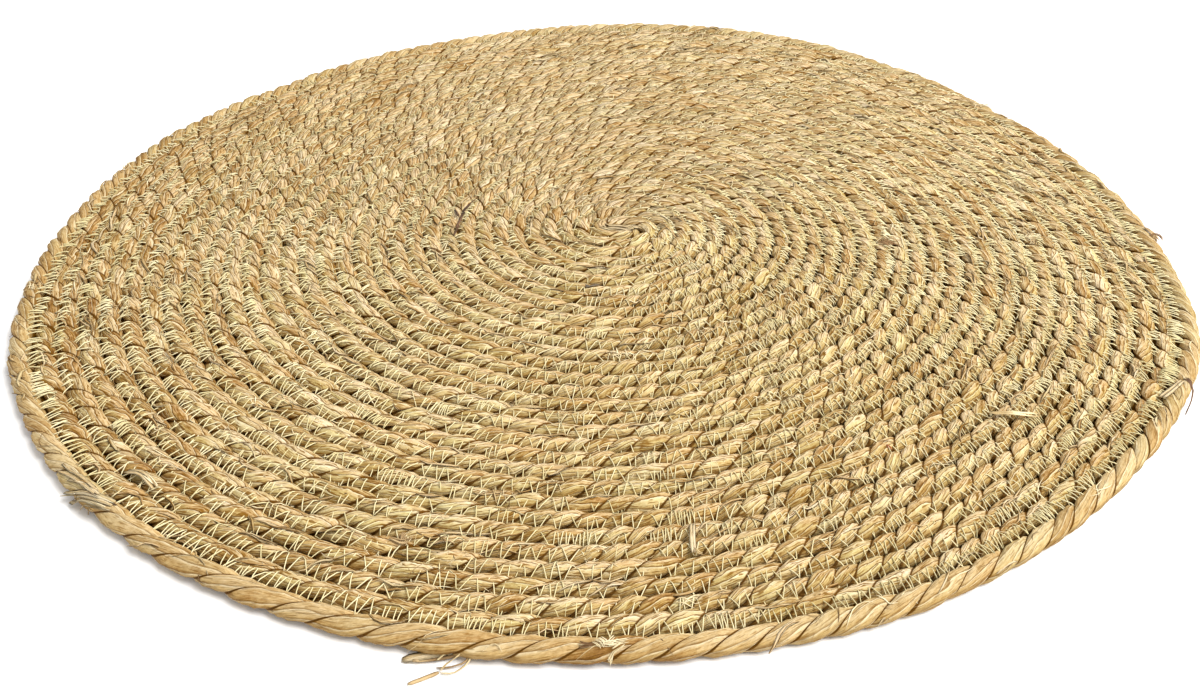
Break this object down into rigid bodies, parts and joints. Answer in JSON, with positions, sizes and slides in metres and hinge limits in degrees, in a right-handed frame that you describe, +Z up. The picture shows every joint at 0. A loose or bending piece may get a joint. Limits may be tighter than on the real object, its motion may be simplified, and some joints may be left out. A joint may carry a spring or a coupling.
{
  "type": "round coiled straw table mat",
  "caption": "Round flat table mat of twisted natural straw rope wound in a spiral and sewn side by side, with a thicker outer turn, to set under a plate or pot.",
  "frame": {"origin": "middle of the spiral, on the flat underside that rests on the table", "axes": "+Z up out of the mat's face, +Y away from the edge nearest the camera, +X to the camera's right"},
  "size_m": [0.3815, 0.3855, 0.0069],
  "materials": {
    "straw_rope": "dry twisted seagrass rope with a faint satin sheen, straw yellow to tan, sewn with thin pale thread",
    "loose_straw": "single dry straw blades, matt with fine lengthwise fibres"
  },
  "bodies": {
    "root": {"coiled_mat": "straw_rope", "straw_ribbon": "loose_straw", "straw_stem": "loose_straw"}
  },
  "joints": []
}
